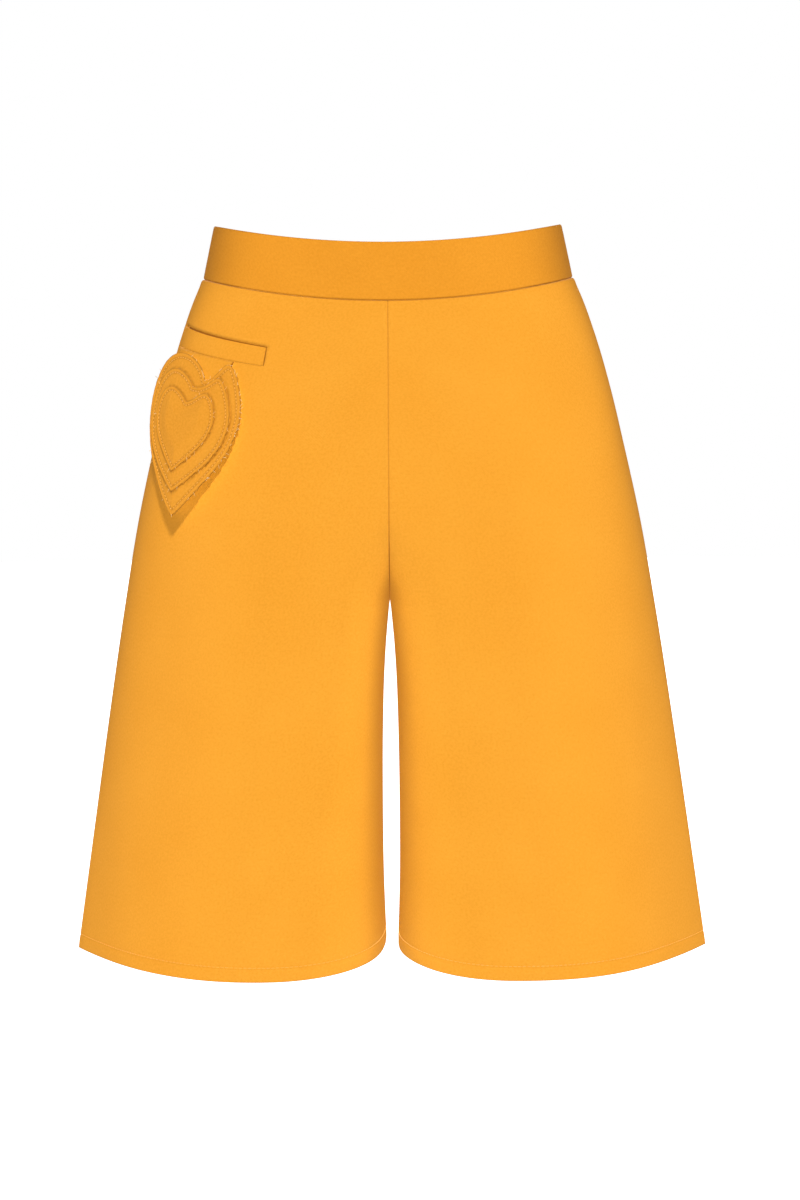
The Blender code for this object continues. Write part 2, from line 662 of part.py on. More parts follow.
def make_pull(collection, cutters, material):
    """Pull tab: an eye round the pin and a drop-shaped tail that lies down the band."""
    frame = slider_frame(PIN_STANDOFF, PULL_TILT)
    pull = new_object("zip_pull", rod_across(EYE_RADIUS, 2 * EYE_HALF_WIDTH, 20), collection, material)
    pull.matrix_world = frame
    outline = bpy.data.curves.new("tail", "CURVE")
    outline.dimensions = "2D"
    outline.fill_mode = "BOTH"
    outline.extrude = PULL_THICKNESS / 2
    drop = outline.splines.new("POLY")
    points = []
    for k in range(25):
        angle = 2 * math.pi * k / 24
        narrow = 0.5 - 0.5 * math.cos(angle)
        points.append((
            TAIL_HALF_WIDTH * math.sin(angle) * (0.62 + 0.38 * narrow),
            -PULL_LENGTH * (0.04 + 0.96 * narrow),
        ))
    drop.points.add(len(points) - 2)
    for point, (x, y) in zip(drop.points, points):
        point.co = (x, y, 0, 1)
    drop.use_cyclic_u = True
    flat = bpy.data.objects.new("tail_outline", outline)
    collection.objects.link(flat)
    flat.rotation_euler.x = math.pi / 2
    bpy.context.view_layer.update()
    bm = bmesh.new()
    bm.from_mesh(flat.evaluated_get(bpy.context.evaluated_depsgraph_get()).to_mesh())
    bm.transform(flat.matrix_world)
    bmesh.ops.remove_doubles(bm, verts=bm.verts, dist=0.01 * MM)
    bpy.data.objects.remove(flat)
    tail = new_cutter("pull_tail", bm, cutters)
    bore = new_cutter("pull_bore", rod_across(PIN_RADIUS + SEAM_GAP, 8 * MM, 20), cutters)
    for piece in (tail, bore):
        piece.matrix_world = frame
    join = pull.modifiers.new("tail", "BOOLEAN")
    join.operation = "UNION"
    join.object = tail
    cut(pull, bore)


def main():
    clear_scene()
    shorts = new_collection("bermuda_shorts")
    cutters = new_collection("cutters")
    body_cloth = new_material("body_cloth", SAFFRON, 0.85)
    band_cloth = new_material("band_cloth", BAND_SAFFRON, 0.85)
    heart_cloth = new_material("heart_cloth", HEART_SAFFRON, 0.85)
    zip_tape = new_material("zip_tape", LACQUER, 0.7)
    lacquer = new_material("lacquered_zinc", LACQUER, 0.4)

    make_leg_panel("front_left", FRONT, LEFT, shorts, body_cloth)
    front_right = make_leg_panel("front_right", FRONT, RIGHT, shorts, body_cloth)
    make_leg_panel("back_left", BACK, LEFT, shorts, body_cloth)
    make_leg_panel("back_right", BACK, RIGHT, shorts, body_cloth)
    make_front_band(shorts, band_cloth)
    slotted = [
        make_back_band("waistband_back_left", LEFT, shorts, band_cloth),
        make_back_band("waistband_back_right", RIGHT, shorts, band_cloth),
        make_zip_tape(shorts, zip_tape),
    ]
    make_slider(shorts, cutters, lacquer, slotted)
    make_pull(shorts, cutters, lacquer)
    make_welt(shorts, body_cloth)
    cut(front_right, make_mouth_cutter(cutters))
    make_bag(shorts, body_cloth)
    make_heart_tab(shorts, body_cloth)
    for index in range(len(HEART_LAYERS)):
        make_heart_layer(index, shorts, heart_cloth)


main()
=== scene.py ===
import json
import math

import bpy
import numpy as np
from mathutils import Euler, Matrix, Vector

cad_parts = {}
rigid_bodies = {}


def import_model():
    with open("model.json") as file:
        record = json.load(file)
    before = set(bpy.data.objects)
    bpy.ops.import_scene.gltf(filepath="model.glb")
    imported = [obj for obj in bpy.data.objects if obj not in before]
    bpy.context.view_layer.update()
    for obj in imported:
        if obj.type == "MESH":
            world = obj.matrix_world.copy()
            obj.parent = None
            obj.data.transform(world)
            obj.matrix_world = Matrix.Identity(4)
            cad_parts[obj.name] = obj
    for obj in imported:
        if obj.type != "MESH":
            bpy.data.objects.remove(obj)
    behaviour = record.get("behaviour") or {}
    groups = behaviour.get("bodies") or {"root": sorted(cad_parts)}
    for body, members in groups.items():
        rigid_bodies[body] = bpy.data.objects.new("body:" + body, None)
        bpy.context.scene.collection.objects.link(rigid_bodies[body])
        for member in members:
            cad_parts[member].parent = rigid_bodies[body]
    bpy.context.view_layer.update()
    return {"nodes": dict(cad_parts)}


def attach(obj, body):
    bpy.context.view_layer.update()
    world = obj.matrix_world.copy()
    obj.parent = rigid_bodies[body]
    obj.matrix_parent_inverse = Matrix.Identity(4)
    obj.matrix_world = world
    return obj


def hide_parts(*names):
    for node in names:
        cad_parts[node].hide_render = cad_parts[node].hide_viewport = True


# Bermuda shorts in cotton twill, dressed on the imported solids
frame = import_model()
front, back = -1, 1    # sign of Y
left, right = 1, -1    # the wearer's sides, sign of X
rng = np.random.default_rng(7)


# colour and node helpers
def toLinear(hexCode):
    channels = [int(hexCode[i:i + 2], 16) / 255 for i in (1, 3, 5)]
    return tuple(c / 12.92 if c <= 0.04045 else ((c + 0.055) / 1.055) ** 2.4 for c in channels) + (1,)


def addNode(tree, kind, settings=None, links=None):
    node = tree.nodes.new(kind)
    for name, value in (settings or {}).items():
        if isinstance(name, int) or name in node.inputs:
            node.inputs[name].default_value = value
        else:
            setattr(node, name, value)
    for name, source in (links or {}).items():
        tree.links.new(source, node.inputs[name])
    return node


def newMaterial(name):
    material = bpy.data.materials.new(name)
    material.use_nodes = True
    return material, material.node_tree, material.node_tree.nodes["Principled BSDF"]


# materials
# Cotton twill, dyed in the piece and pressed: matt, with a fine slanting rib. Real ribs are about
# 0.45 mm apart; they are drawn 1.1 mm apart so that they show
twill = {"rib": 0.0011, "thread": 0.0009, "ribHeight": 0.00009, "grain": 0.0017}


def cottonTwill(name, dye, shade, bounced, paintedRimShade=(0.40, 0.95, 0.72), ribHeight=twill["ribHeight"]):
    material, tree, shader = newMaterial(name)
    cut = addNode(tree, "ShaderNodeUVMap", {"uv_map": "cut"}).outputs["UV"]
    rib = addNode(tree, "ShaderNodeTexWave", {
        "bands_direction": "DIAGONAL", "Scale": 0.62832 / twill["rib"] / 1.414, "Distortion": 0.6,
        "Detail": 1.0, "Detail Scale": 2.0}, {"Vector": cut})
    thread = addNode(tree, "ShaderNodeTexWave", {
        "bands_direction": "X", "Scale": 0.31416 / twill["thread"], "Distortion": 0.8,
        "Detail": 1.0, "Detail Scale": 2.0}, {"Vector": cut})
    slub = addNode(tree, "ShaderNodeTexNoise", {"Scale": 1 / twill["grain"], "Detail": 2.0}, {"Vector": cut})
    cloud = addNode(tree, "ShaderNodeTexNoise", {"Scale": 14.0, "Detail": 3.0}, {"Vector": cut})
    weave = addNode(tree, "ShaderNodeMath", {"operation": "MULTIPLY"},
                    {0: rib.outputs["Fac"], 1: thread.outputs["Fac"]})
    relief = addNode(tree, "ShaderNodeMath", {"operation": "MULTIPLY_ADD", 1: 0.7},
                     {0: slub.outputs["Fac"], 2: weave.outputs["Value"]})
    bump = addNode(tree, "ShaderNodeBump", {"Strength": 1.0, "Distance": ribHeight},
                   {"Height": relief.outputs["Value"]})
    # fine grain of the yarns, and a very soft unevenness of the dye
    uneven = addNode(tree, "ShaderNodeMath", {"operation": "MULTIPLY_ADD", 1: 2.2},
                     {0: slub.outputs["Fac"], 2: cloud.outputs["Fac"]})
    tone = addNode(tree, "ShaderNodeMapRange", {"From Min": 1.0, "From Max": 2.2, "To Min": 0.0, "To Max": 1.0},
                   {"Value": uneven.outputs["Value"]})
    colour = addNode(tree, "ShaderNodeMix", {"data_type": "RGBA", 6: toLinear(shade), 7: toLinear(dye)},
                     {"Factor": tone.outputs["Result"]})
    # painted shade: the colour is darkened where the surface turns away from the view, so the cloth is darker towards
    # its outlines
    turned = addNode(tree, "ShaderNodeLayerWeight", {"Blend": 0.5})
    low = addNode(tree, "ShaderNodeMapRange", {"interpolation_type": "SMOOTHSTEP", "From Min": paintedRimShade[0],
                                               "From Max": paintedRimShade[1], "To Min": 1.0, "To Max": paintedRimShade[2]},
                    {"Value": turned.outputs["Facing"]})
    shaded = addNode(tree, "ShaderNodeMix", {"data_type": "RGBA", "blend_type": "MULTIPLY", "Factor": 1.0},
                     {6: colour.outputs[2], 7: low.outputs["Result"]})
    # painted shade: a darker brown is mixed in where the vertex attribute marks seams, stitches and edges
    shadeMask = addNode(tree, "ShaderNodeAttribute", {"attribute_name": "paintedShade"})
    shadedColour = addNode(tree, "ShaderNodeMix", {"data_type": "RGBA", 7: toLinear("#8A4A04")},
                   {"Factor": shadeMask.outputs["Fac"], 6: shaded.outputs[2]})
    # light that has bounced between two pieces comes back less deeply coloured, as in an even studio
    path = addNode(tree, "ShaderNodeLightPath")
    bounce = addNode(tree, "ShaderNodeMix", {"data_type": "RGBA", 7: toLinear(bounced)},
                     {"Factor": path.outputs["Is Diffuse Ray"], 6: shadedColour.outputs[2]})
    tree.links.new(bounce.outputs[2], shader.inputs["Base Color"])
    tree.links.new(bump.outputs["Normal"], shader.inputs["Normal"])
    shader.inputs["Roughness"].default_value = 0.88
    shader.inputs["IOR"].default_value = 1.47
    shader.inputs["Specular IOR Level"].default_value = 0.2
    shader.inputs["Sheen Weight"].default_value = 0.02   # short fibres on the cloth's face
    shader.inputs["Sheen Roughness"].default_value = 0.5
    shader.inputs["Sheen Tint"].default_value = toLinear("#FFD27A")
    return material


paleBounce = "#DCD2B2"
bodyTwill = cottonTwill("saffron_cotton_twill", "#FBAA34", "#F09D26", paleBounce)
# the band is a little darker, and gets a stronger painted shade where it turns away
bandTwill = cottonTwill("saffron_cotton_twill_fused", "#F3A02A", "#E8931E", paleBounce, (0.15, 0.8, 0.64))
# painted shade: the pocket bag is a deep brown so that the pocket's mouth shows dark
pocketing = cottonTwill("cotton_pocketing_dark_for_painted_shade", "#A8640C", "#9C5A08", "#704808")
heartTwill = cottonTwill("saffron_cotton_twill_raw", "#F4A534", "#E69524", paleBounce, ribHeight=0.00012)


def spunThread(name, dye):
    material, tree, shader = newMaterial(name)
    place = addNode(tree, "ShaderNodeTexCoord").outputs["Object"]
    twist = addNode(tree, "ShaderNodeTexWave", {"bands_direction": "DIAGONAL", "Scale": 700.0}, {"Vector": place})
    bump = addNode(tree, "ShaderNodeBump", {"Strength": 0.5, "Distance": 0.00005}, {"Height": twist.outputs["Fac"]})
    tree.links.new(bump.outputs["Normal"], shader.inputs["Normal"])
    shader.inputs["Base Color"].default_value = toLinear(dye)
    shader.inputs["Roughness"].default_value = 0.6
    shader.inputs["Sheen Weight"].default_value = 0.1
    return material


seamThread = spunThread("polyester_thread", "#FDB842")
rawThread = spunThread("raw_cotton_thread", "#FFCC7C")

# mesh helpers
def gridObject(name, points, uv, material, outward, keep=None, paintedShade=None):
    rows, columns = points.shape[:2]
    index = np.arange(rows * columns).reshape(rows, columns)
    quads = np.stack([index[:-1, :-1], index[:-1, 1:], index[1:, 1:], index[1:, :-1]], axis=-1)
    quads = quads[keep] if keep is not None else quads.reshape(-1, 4)
    used, quads = np.unique(quads, return_inverse=True)
    quads = quads.reshape(-1, 4)
    places, flat = points.reshape(-1, 3)[used], uv.reshape(-1, 2)[used]
    middle = len(quads) // 2
    a, b, c, d = places[quads[middle]]
    if np.dot(np.cross(c - a, d - b), outward((a + c) / 2)) < 0:
        quads = quads[:, ::-1]
    mesh = bpy.data.meshes.new(name)
    mesh.from_pydata(places.tolist(), [], quads.tolist())
    corner = np.zeros(len(mesh.loops), dtype=np.int32)
    mesh.loops.foreach_get("vertex_index", corner)
    layer = mesh.uv_layers.new(name="cut")
    layer.data.foreach_set("uv", flat[corner].astype(np.float32).ravel())
    if paintedShade is not None:   # painted shade: how much of a darker brown is mixed into the colour down in seams, at stitches and under edges, where little light gets in
        mesh.attributes.new("paintedShade", "FLOAT", "POINT").data.foreach_set(
            "value", np.clip(paintedShade, 0, 1).reshape(-1)[used].astype(np.float32))
    mesh.materials.append(material)
    obj = bpy.data.objects.new(name, mesh)
    bpy.context.scene.collection.objects.link(obj)
    mesh.shade_smooth()
    return obj


def thicken(obj, thickness, thin=None, thickFrom=None):
    shell = obj.modifiers.new("thickness", "SOLIDIFY")
    shell.thickness = thickness
    shell.offset = -1
    shell.use_even_offset = False
    if thickFrom is not None:
        group = obj.vertex_groups.new(name="thick")
        group.add(range(thickFrom, len(obj.data.vertices)), 1.0, "REPLACE")
        shell.vertex_group = "thick"
        shell.thickness_vertex_group = thin / thickness
    return obj


def fromAxis(point):
    return np.array([point[0], point[1], 0])


def gridNormals(points):
    normals = np.cross(np.gradient(points, axis=1), np.gradient(points, axis=0))
    normals /= np.maximum(np.linalg.norm(normals, axis=-1, keepdims=True), 1e-12)
    away = points * (1, 1, 0)
    return normals * (1 if (normals * away).sum() > 0 else -1)


def tubes(name, paths, radius, material, sides=6):
    verts, faces = [], []
    ring = np.linspace(0, 2 * math.pi, sides, endpoint=False)
    for path in paths:
        path = np.asarray(path, float)
        along = np.gradient(path, axis=0)
        along /= np.maximum(np.linalg.norm(along, axis=1, keepdims=True), 1e-12)
        aside = np.cross(along, (0.31, 0.17, 0.93))
        aside /= np.maximum(np.linalg.norm(aside, axis=1, keepdims=True), 1e-12)
        over = np.cross(along, aside)
        n, start = len(path), len(verts)
        thin = radius * np.sqrt(np.clip(1 - np.linspace(-1, 1, n) ** 8, 0.12, 1))
        for i in range(n):
            for angle in ring:
                verts.append(path[i] + thin[i] * (aside[i] * math.cos(angle) + over[i] * math.sin(angle)))
        for i in range(n - 1):
            for k in range(sides):
                j = (k + 1) % sides
                faces.append((start + i * sides + k, start + i * sides + j,
                              start + (i + 1) * sides + j, start + (i + 1) * sides + k))
        faces.append(tuple(start + k for k in reversed(range(sides))))
        faces.append(tuple(start + (n - 1) * sides + k for k in range(sides)))
    mesh = bpy.data.meshes.new(name)
    mesh.from_pydata([tuple(v) for v in verts], [], faces)
    mesh.materials.append(material)
    mesh.shade_smooth()
    obj = bpy.data.objects.new(name, mesh)
    bpy.context.scene.collection.objects.link(obj)
    return obj


def smooth(t):
    t = np.clip(t, 0, 1)
    return t * t * (3 - 2 * t)


def hump(t, width):
    return np.exp(-((t / width) ** 2))


# the legs' form, the same as the solids have, in millimetres
seamGap, sewnGap = 0.08, 0.03   # as it shows: between sewn pieces, and between the two sides of a centre seam
legs = {
    "level": (38.4, 54, 80, 120, 160, 215, 275, 365, 450, 535),
    "halfWidth": (134.7, 141.8, 151.2, 162.8, 172.4, 184.6, 195.2, 209.4, 222, 234.5),
    front: (100, 103, 106.5, 110, 112.5, 115, 116.5, 118, 119.2, 120),
    back: (97, 103, 112, 121, 126.5, 128, 126, 123, 121.5, 121),
    "flare": (0, 0, 0.03, 0.10, 0.20, 0.36, 0.54, 0.78, 0.93, 1),
    "ridge": (42, 43, 44, 47, 51, 57, 64, 74, 83, 92),
    "strip": 3.0, "flarePower": 2.3, "squareness": (2.6, 1.1), "oneOvalTo": 120.0,
}
legSpace = {"level": (274, 305, 335, 365, 425, 486, 535), "halfGap": (0.2, 3, 4.8, 5.7, 6.4, 6.1, 4.6)}
fork = {"level": 274.0, "y": 14.0, "hemY": 4.0,
        "turn": {front: 200.0, back: 186.0}, "fullness": {front: 2.3, back: 2.1}}
hem = {"level": 535.0, "depth": 12.0, "rise": 25.0, "riseFrom": 365.0, "stitchUp": 10.6, "stitch": 2.7, "pitch": 3.3}
waistSeam = {"level": 38.4, "dip": {front: 15.3, back: 14.0}, "fadedAt": 160.0}
clothThick = {"body": 0.0014, "hem": 0.0028, "band": 0.0024}


def readTable(table, column, level):
    levels, values = np.array(table["level"], float), np.array(table[column], float)
    slopes = np.gradient(values, levels)
    at = np.clip(level, levels[0], levels[-1])
    i = np.clip(np.searchsorted(levels, at, side="right") - 1, 0, len(levels) - 2)
    span = levels[i + 1] - levels[i]
    t = (at - levels[i]) / span
    return ((2 * t**3 - 3 * t**2 + 1) * values[i] + (t**3 - 2 * t**2 + t) * span * slopes[i]
            + (3 * t**2 - 2 * t**3) * values[i + 1] + (t**3 - t**2) * span * slopes[i + 1])


def centreSeamY(level, face):
    forkY = fork["y"] + face * seamGap / 2
    below = forkY + (fork["hemY"] - fork["y"]) * (level - fork["level"]) / (hem["level"] - fork["level"])
    turned = np.clip((level - fork["turn"][face]) / (fork["level"] - fork["turn"][face]), 0, 1)
    power = fork["fullness"][face]
    above = forkY + (face * readTable(legs, face, level) - forkY) * (1 - turned**power) ** (1 / power)
    return np.where(level >= fork["level"], below, above)


def innerPower(level, face):
    turn = fork["turn"][face]
    lowered = np.clip((level - turn) / (hem["level"] - turn), 0, 1)
    atTurn, atHem = legs["squareness"]
    return 2 / (2 + atTurn + (atHem - atTurn) * lowered)


def innerEdge(level):
    return np.where(level > fork["level"], readTable(legSpace, "halfGap", level), sewnGap / 2)


def legSection(level, across, face):
    level, across = np.broadcast_arrays(np.asarray(level, float), np.asarray(across, float))
    halfWidth, flare, ridge = (readTable(legs, c, level) for c in ("halfWidth", "flare", "ridge"))
    depth = readTable(legs, face, level)
    turn = fork["turn"][face]
    startY = seamGap / 2 + legs["strip"]
    innerX = innerEdge(level)
    seamY = face * centreSeamY(level, face)
    inmostY = np.minimum(seamY, face * fork["y"] + seamGap / 2)
    power = innerPower(level, face)
    cutOff = np.clip((seamY - inmostY) / (depth - inmostY), 0, 1 - 1e-6)
    endAngle = np.arccos(cutOff ** (1 / power))
    outer, inner = np.clip(across, 0, 1) * math.pi / 2, np.clip(across - 1, 0, 1) * endAngle

    def bow(t):
        t = np.clip(t, 0, 1)
        return (1 - flare) * np.sqrt(1 - t**2) + flare * (1 - t ** legs["flarePower"])

    x = np.where(across <= 1, ridge + (halfWidth - ridge) * np.cos(outer),
                 ridge - (ridge - innerX) * (np.sin(inner) / np.sin(endAngle)) ** power)
    asLeg = np.where(across <= 1, startY + (depth - startY) * bow(np.cos(outer)),
                     inmostY + (depth - inmostY) * np.abs(np.cos(inner)) ** power)
    asOval = startY + (depth - startY) * bow(x / halfWidth)
    y = asOval + (asLeg - asOval) * smooth((level - legs["oneOvalTo"]) / (turn - legs["oneOvalTo"]))
    y = np.where(across < 0, seamGap / 2 + (1 + across) * legs["strip"], y)
    return x, y * face


def sunk(x, level, face):
    fade = np.clip((level - waistSeam["level"]) / (waistSeam["fadedAt"] - waistSeam["level"]), 0, 1)
    across = x / readTable(legs, "halfWidth", level)
    dip = waistSeam["dip"][face] * (1 - fade) ** 2 * (1 + 2 * fade) * (1 - across**2)
    ridge, edge = readTable(legs, "ridge", level), innerEdge(level)
    inward = np.clip((ridge - x) / (ridge - edge), 0, 1)
    square = 2 / innerPower(level, face)
    bulge = (1 - inward**square) ** (1 / square) - np.sqrt(1 - inward**2)
    rise = hem["rise"] * bulge * smooth((level - hem["riseFrom"]) / (hem["level"] - hem["riseFrom"]))
    return -level - dip + rise


def legPoints(level, across, face, side):
    x, y = legSection(level, across, face)
    return np.stack([side * x, y, sunk(x, level, face)], axis=-1) / 1000


# a map of the right hip, for what is sewn on it: arc from the side seam and level, in mm
hipArcs, hipLevels = np.arange(-6.0, 200.0, 1.0), np.arange(38.4, 330.0, 1.0)
fine = np.concatenate([np.linspace(-1, 0, 4)[:-1], np.linspace(0, 1, 220), np.linspace(1, 2, 160)[1:]])


def mapHip():
    rows = []
    for level in hipLevels:
        line = legPoints(level, fine, front, right) * 1000
        reached = np.concatenate([[0], np.cumsum(np.linalg.norm(np.diff(line, axis=0), axis=1))])
        spot = np.stack([np.interp(hipArcs, reached, line[:, k]) for k in range(3)], axis=-1)
        behind = hipArcs < 0
        spot[behind, 1] = line[0, 1] - hipArcs[behind]
        rows.append(spot)
    spots = np.array(rows) / 1000
    return spots, gridNormals(spots)


hipSpots, hipNormals = mapHip()


def onHip(arc, level, out):
    arc, level, out = np.broadcast_arrays(*(np.asarray(v, float) for v in (arc, level, out)))
    i = np.clip(level - hipLevels[0], 0, len(hipLevels) - 1.001)
    j = np.clip(arc - hipArcs[0], 0, len(hipArcs) - 1.001)
    i0, j0 = i.astype(int), j.astype(int)
    u, v = (i - i0)[..., None], (j - j0)[..., None]

    def at(field):
        return ((1 - u) * (1 - v) * field[i0, j0] + u * (1 - v) * field[i0 + 1, j0]
                + (1 - u) * v * field[i0, j0 + 1] + u * v * field[i0 + 1, j0 + 1])

    normal = at(hipNormals)
    return at(hipSpots) + normal / np.linalg.norm(normal, axis=-1, keepdims=True) * out[..., None] / 1000


print("forms ready")

# pocket: the welt is set into a window in the right front
welt = {"startArc": 18.0, "endArc": 116.0, "startLevel": 72.0, "endLevel": 79.5, "height": 14.0, "mouth": 1.1}


def weltLevel(arc):
    share = np.clip((arc - welt["startArc"]) / (welt["endArc"] - welt["startArc"]), 0, 1)
    return welt["startLevel"] + (welt["endLevel"] - welt["startLevel"]) * share


# leg panels
panel = {"outerColumns": 84, "innerColumns": 56, "toTurn": 66, "toFork": 44, "toHem": 74}


def rowLevels(face, inward):
    turn, top = fork["turn"][face], waistSeam["level"]
    near = top + np.array([0, 0.25, 0.5, 0.85, 1.3, 2.0, 2.9, 4.0, 5.2])
    upper = np.linspace(6.2, turn - top, panel["toTurn"]) + top
    step = np.linspace(0, 1, panel["toFork"] + 1)[1:]
    curve = turn + (fork["level"] - turn) * (step + (np.sin(math.pi / 2 * step) - step) * inward)
    lower = np.linspace(fork["level"], hem["level"] - 15, panel["toHem"] + 1)[1:]
    foot = hem["level"] - np.array([14, 13, 12.2, 11.4, 10.6, 9.8, 9, 8, 6.5, 4.5, 2.5, 1.2, 0.5, 0])
    return np.concatenate([near, upper, curve, lower, foot])


def arcLengths(points):
    steps = np.linalg.norm(np.diff(points, axis=1), axis=-1) * 1000
    return np.concatenate([np.zeros((len(points), 1)), np.cumsum(steps, axis=1)], axis=1)


def legPanel(name, node, face, side):
    across = np.concatenate([
        [-1, -0.8, -0.55, -0.25], np.linspace(0, 1, panel["outerColumns"]),
        1 + np.linspace(0, 1, panel["innerColumns"])[1:-1],
        2 - np.array([0.011, 0.007, 0.004, 0.0018, 0])])
    inward = np.clip(across - 1, 0, 1) ** 2
    level = np.stack([rowLevels(face, i) for i in inward], axis=1)
    window = None
    if node == "front_right":
        base = level.copy()
        points = legPoints(level, across, face, side)
        arc = arcLengths(points)
        near = smooth((base - 45) / 20) * (1 - smooth((base - 98) / 40))
        # rows follow the slant of the welt near the pocket
        level = base + (weltLevel(arc) - welt["startLevel"]) * near
        topRow = int(np.argmin(np.abs(base[:, 0] - (welt["startLevel"] - welt["mouth"]))))
        footRow = int(np.argmin(np.abs(base[:, 0] - (welt["startLevel"] + welt["height"]))))
        rowTop, rowFoot = base[topRow, 0], base[footRow, 0]
        # those two rows are moved onto the window's edges
        edgeTop, edgeFoot = welt["startLevel"] - welt["mouth"], welt["startLevel"] + welt["height"] + 0.15
        level += (edgeTop - rowTop) * hump(base - rowTop, 4) + (edgeFoot - rowFoot) * hump(base - rowFoot, 4)
        arc = arcLengths(legPoints(level, across, face, side))
        middle = (arc[topRow] + arc[footRow]) / 2
        firstColumn = int(np.argmin(np.abs(middle - welt["startArc"])))
        lastColumn = int(np.argmin(np.abs(middle - welt["endArc"])))
        window = (topRow, footRow, firstColumn, lastColumn)
    points = legPoints(level, across, face, side)
    normals = gridNormals(points)
    arc = arcLengths(points)
    toCentre = arc[:, -1:] - arc
    below = level - waistSeam["level"]
    up = hem["level"] - level
    out = -0.9 * hump(below, 0.5) + 0.28 * hump(below - 3.0, 2.0)
    # the dip of the centre seam fades out in the crotch, where the two sides lie flat against each other
    outward = np.where(level <= fork["level"] + 2, np.abs(normals[..., 1]), 1)
    out += -(0.55 * hump(toCentre, 0.55) + 0.12 * hump(toCentre, 2.5)) * outward - 0.6 * hump(arc, 1.0)
    toFork = smooth((level - 150) / (fork["level"] - 150)) * (level <= fork["level"])
    # painted shade along the waist seam, the centre seam and down into the crotch, the side seam and the hem
    # stitching
    paintedShade = 0.75 * hump(below, 0.5) + (0.38 + 0.3 * toFork) * hump(toCentre, 0.5) * (level < fork["level"] + 4)
    paintedShade += 0.16 * toFork**2 * hump(toCentre, 7) + 0.12 * hump(arc, 0.8)
    paintedShade += 0.14 * hump(up - hem["stitchUp"] + 0.7, 0.5)
    out += 0.16 * hump(toCentre - 3.2, 1.6) * (1 - smooth((level - 60) / 90)) * (side == right)
    out += -0.3 * hump(up - hem["stitchUp"], 0.8) + 0.12 * hump(up - 6, 3.5) - 0.35 * hump(up, 0.7)
    # soft rise and fall of pressed cloth
    wander = 0.35 * np.sin(arc / 31 + level / 190 + side) * smooth((level - 150) / 200)
    wander += 0.25 * np.sin(arc / 17 - level / 83 + 2 * side + face) * smooth((level - 60) / 120)
    out += wander * smooth(arc / 12) * smooth(toCentre / 12)
    # small gathers under the band, by the side seam
    for place, tall, depth in ((5, 10, 0.5), (11, 16, 0.35), (19, 8, 0.2)):
        out += depth * hump(arc - place - below * 0.06, 1.7) * np.exp(-below / tall) * smooth(below / 2)
    if window:
        topRow, footRow, firstColumn, lastColumn = window
        inside = smooth((arc - welt["startArc"] + 3) / 3) * smooth((welt["endArc"] + 3 - arc) / 3)
        line = weltLevel(arc)
        upper = hump(np.minimum(level - line + welt["mouth"], 0), 0.6) * (level < line + 1)
        out += -0.3 * inside * upper
        beyond = smooth((arc - 3) / 6) * (1 - inside) * (arc < 40)
        onward = hump(level - line + welt["mouth"] / 2, 0.6) * beyond
        out += -0.5 * onward
        # painted shade in the pocket's mouth and along the line past its ends
        paintedShade += 0.2 * inside * upper + 0.6 * onward
        out += -0.12 * inside * hump(np.maximum(level - line - welt["height"] - 0.15, 0), 0.8) * (level > line + 5)
    points = points + normals * (out / 1000)[..., None]
    # the two sides meet all along the centre seam
    points[:, -1, 0] = np.where(level[:, -1] <= fork["level"], side * sewnGap / 2000, points[:, -1, 0])
    uv = np.stack([arc, level], axis=-1) / 1000
    keep = None
    if window:
        keep = np.ones((len(points) - 1, points.shape[1] - 1), bool)
        keep[topRow:footRow, firstColumn:lastColumn] = False
    obj = gridObject(name, points, uv, bodyTwill, fromAxis, keep, paintedShade)
    hemRows = int((rowLevels(face, 0) >= hem["level"] - hem["depth"]).sum())
    thicken(obj, clothThick["hem"], clothThick["body"], len(obj.data.vertices) - hemRows * len(across))
    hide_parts(node)
    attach(obj, "shorts")
    return obj, window, across, level


panels = {}
for node, face, side in (("front_left", front, left), ("front_right", front, right),
                         ("back_left", back, left), ("back_right", back, right)):
    panels[node] = legPanel(node + "_panel", node, face, side)
print("leg panels ready")

# waistband: two layers of the twill with a fused lining between, so it is stiffer and flatter
band = {"drop": 38.4, "topDip": {front: 13.0, back: 12.0}, "top": (126.5, 95.0, 90.0), "foot": (134.7, 100.0, 97.0),
        "columns": 110}


def bandPoints(angle, height, face, side):
    angle, height = np.broadcast_arrays(angle, height)
    halfWidth, deepFront, deepBack = (f + (t - f) * height for f, t in zip(band["foot"], band["top"]))
    depth = deepFront if face == front else deepBack
    onStrip = angle < 0
    across = np.where(onStrip, 1.0, np.cos(angle))
    startY = seamGap / 2 + legs["strip"]
    y = np.where(onStrip, seamGap / 2 + (1 + angle) * legs["strip"], startY + (depth - startY) * np.sin(angle))
    x = halfWidth * across
    dip = 1 - across**2
    footZ = -band["drop"] - waistSeam["dip"][face] * dip + seamGap
    topZ = -band["topDip"][face] * dip
    return np.stack([side * x, face * y, footZ + (topZ - footZ) * height], axis=-1) / 1000


